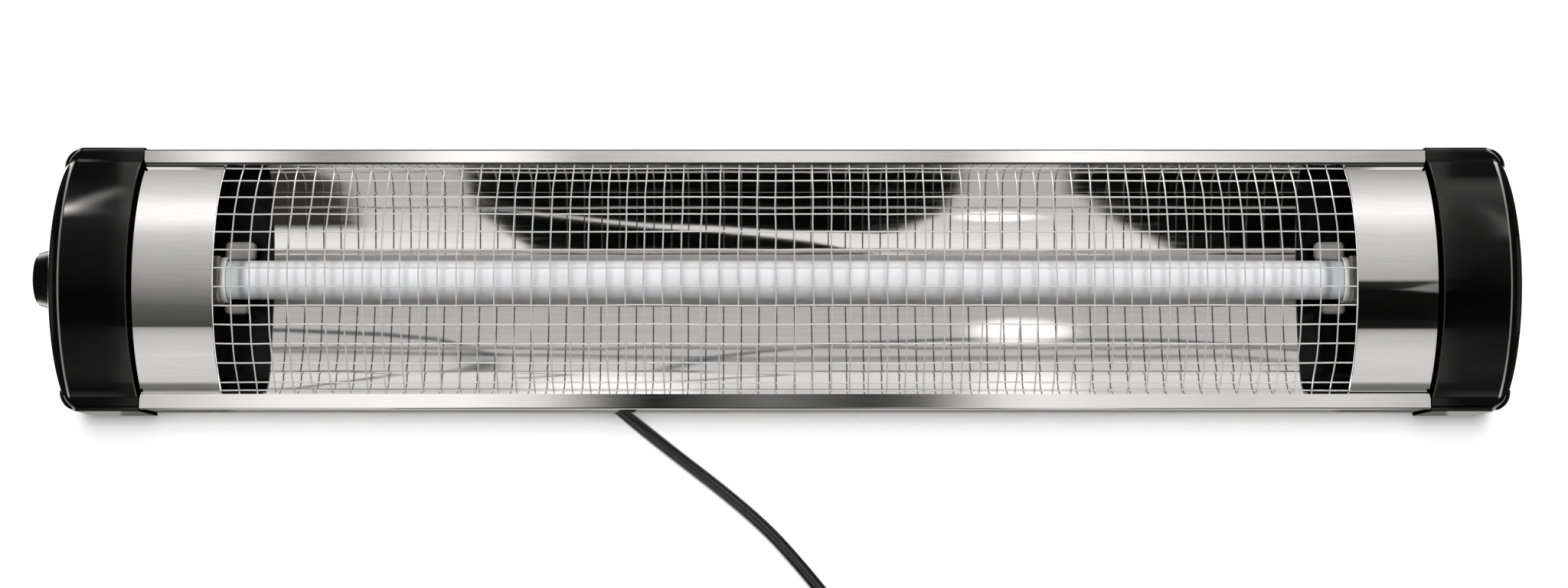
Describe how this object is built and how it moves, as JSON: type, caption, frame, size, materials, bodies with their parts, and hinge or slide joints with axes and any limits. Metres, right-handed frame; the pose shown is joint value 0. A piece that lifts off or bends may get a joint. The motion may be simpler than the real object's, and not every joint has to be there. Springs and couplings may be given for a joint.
{
  "type": "infrared quartz heater",
  "caption": "Linear infrared quartz heater: a glass tube in a polished trough behind an arched wire guard, between moulded end caps, with a side knob, a wall rail and a coiled cord.",
  "frame": {"origin": "middle of the wall bracket's two bolt holes, on the plane that the backs of the end caps rest on", "axes": "+X along the heater, away from the knob; +Y up when it hangs on a wall; +Z out of its front"},
  "size_m": [1.053, 0.437, 0.107],
  "materials": {
    "cap_plastic": "gloss",
    "knob_plastic": "satin",
    "inner_plastic": "matte",
    "switch_plastic": "matte",
    "body_sheet": "satin",
    "cover_sheet": "satin",
    "mirror_sheet": "polished",
    "guard_wire": "bright",
    "black_paint": "gloss",
    "quartz": "frosted",
    "ceramic": "matte",
    "resistance_wire": "dull",
    "zinc_steel": "zinc plated",
    "brass": "nickel free",
    "cord_rubber": "matte",
    "lead_brown": "satin",
    "lead_blue": "satin",
    "lead_earth": "satin",
    "tie_plastic": "satin"
  },
  "bodies": {
    "housing": {"left_end_cap": "cap_plastic", "right_end_cap": "cap_plastic", "top_rail": "body_sheet", "bottom_rail": "body_sheet", "left_band": "body_sheet", "right_band": "body_sheet", "guard_hoops": "guard_wire", "guard_rods": "guard_wire", "reflector": "mirror_sheet", "left_end_shield": "black_paint", "right_end_shield": "black_paint", "left_socket": "ceramic", "right_socket": "ceramic", "quartz_tube": "quartz", "heating_coil": "resistance_wire", "left_terminal": "zinc_steel", "right_terminal": "zinc_steel", "terminal_nuts": "zinc_steel", "socket_screws": "zinc_steel", "rear_cover": "cover_sheet", "cap_screws": "zinc_steel", "cover_screws": "zinc_steel", "shield_screws": "zinc_steel", "mounting_rail": "cover_sheet", "threaded_inserts": "zinc_steel", "rail_rivets": "zinc_steel", "switch_body": "switch_plastic", "switch_tabs": "brass", "switch_nut": "zinc_steel", "terminal_block": "inner_plastic", "block_screws": "brass", "strain_relief": "cord_rubber", "supply_leads": "lead_brown", "live_lead": "lead_brown", "switched_lead": "lead_brown", "neutral_lead": "lead_blue", "earth_lead": "lead_earth", "wire_lugs": "brass", "earth_screw": "zinc_steel", "power_cord": "cord_rubber", "cord_coil": "cord_rubber", "cord_tail": "cord_rubber", "plug_body": "cord_rubber", "plug_pins": "brass", "cord_tie": "tie_plastic"},
    "knob": {"knob": "knob_plastic", "switch_shaft": "switch_plastic"}
  },
  "joints": [
    {"name": "knob_turn", "type": "hinge", "parent": "housing", "child": "knob", "pos_m": [-0.5355, 0, 0.054], "axis": [1, 0, 0], "range_deg": [0, 180]}
  ]
}
